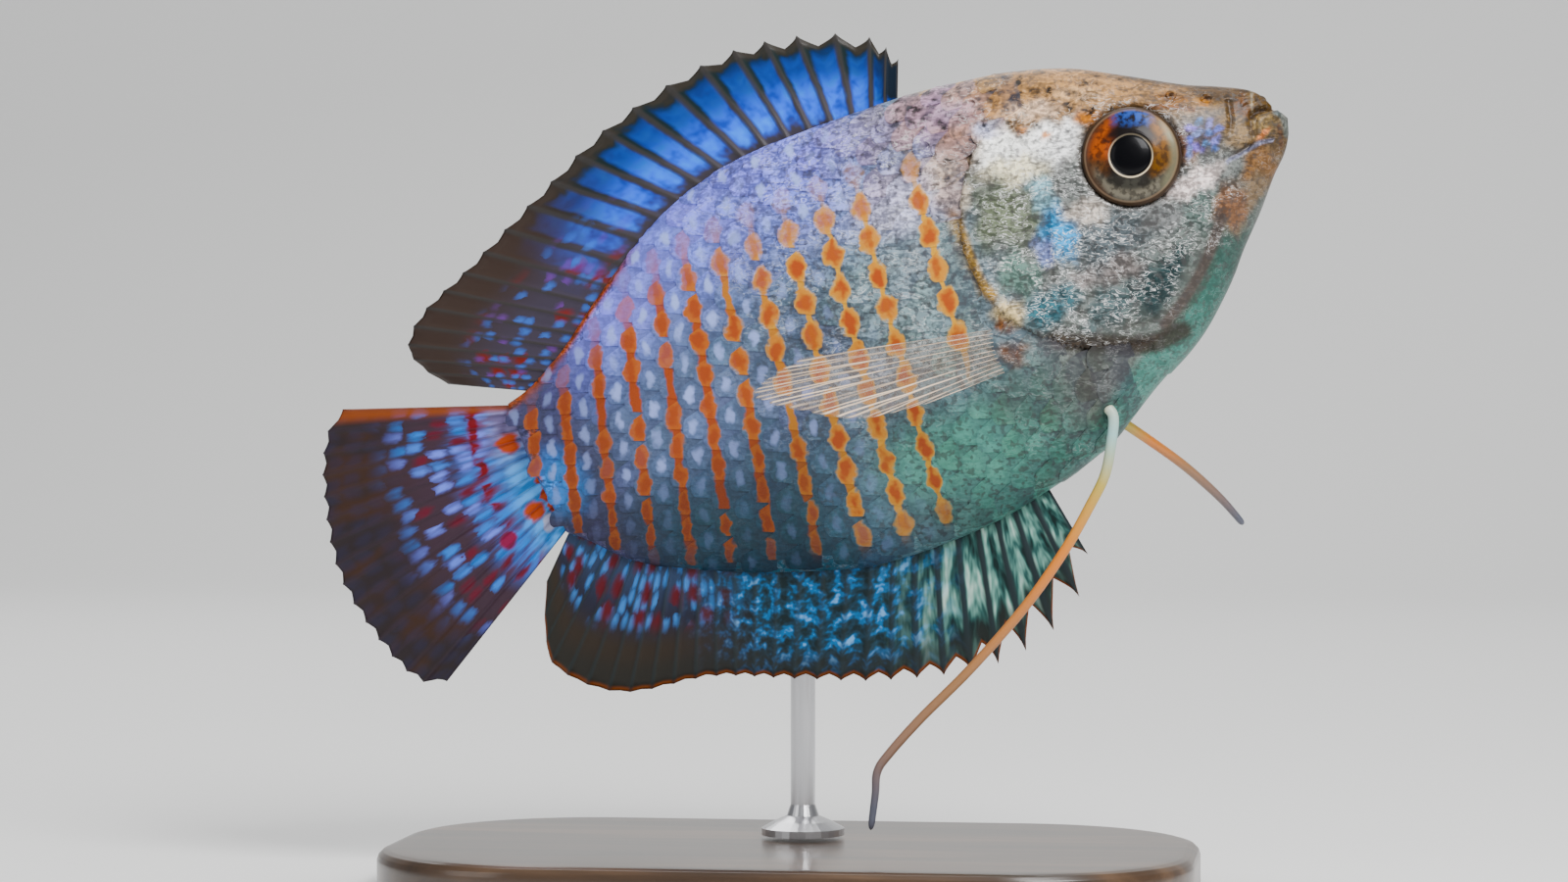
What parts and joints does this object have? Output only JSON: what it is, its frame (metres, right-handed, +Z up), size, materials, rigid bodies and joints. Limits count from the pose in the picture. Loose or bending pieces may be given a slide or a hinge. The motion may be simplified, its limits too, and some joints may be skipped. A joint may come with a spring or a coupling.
{
  "type": "dwarf gourami display model",
  "caption": "Still life-size male dwarf gourami, head up, fins spread, thread-like feelers hanging, held over a flat base by a thin rod.",
  "frame": {"origin": "middle of the stand's underside, under the middle of the whole model", "axes": "+X towards the head, +Y towards the fish's left flank, +Z up; the right flank faces -Y"},
  "size_m": [0.0706, 0.034, 0.0608],
  "materials": {
    "silver_skin": "painted skin with a pearly gloss, blue-grey with rust-orange bars",
    "silver_cheek": "silvery gloss with a grey-green mottle",
    "amber_eye": "clear wet gloss over a rust and blue iris",
    "blue_fin": "satin, deep blue membrane with grey-brown spines",
    "speckled_fin": "satin, light blue flecks with maroon spots",
    "pale_fin": "satin, pale and nearly clear, peach rays",
    "feeler_thread": "satin, white root, orange middle, grey end",
    "dark_wood": "dark walnut, satin lacquer",
    "brushed_steel": "fine brushed steel"
  },
  "bodies": {
    "root": {"head": "silver_skin", "trunk": "silver_skin", "tail_stalk": "silver_skin", "gill_cover_right": "silver_cheek", "gill_cover_left": "silver_cheek", "eye_right": "amber_eye", "eye_left": "amber_eye", "dorsal_fin": "blue_fin", "anal_fin": "speckled_fin", "tail_fin": "speckled_fin", "pectoral_fin_right": "pale_fin", "pectoral_fin_left": "pale_fin", "pelvic_feeler_right_root": "feeler_thread", "pelvic_feeler_right_tip": "feeler_thread", "pelvic_feeler_left_root": "feeler_thread", "pelvic_feeler_left_tip": "feeler_thread", "stand_base": "dark_wood", "stand_rod": "brushed_steel"}
  },
  "joints": []
}
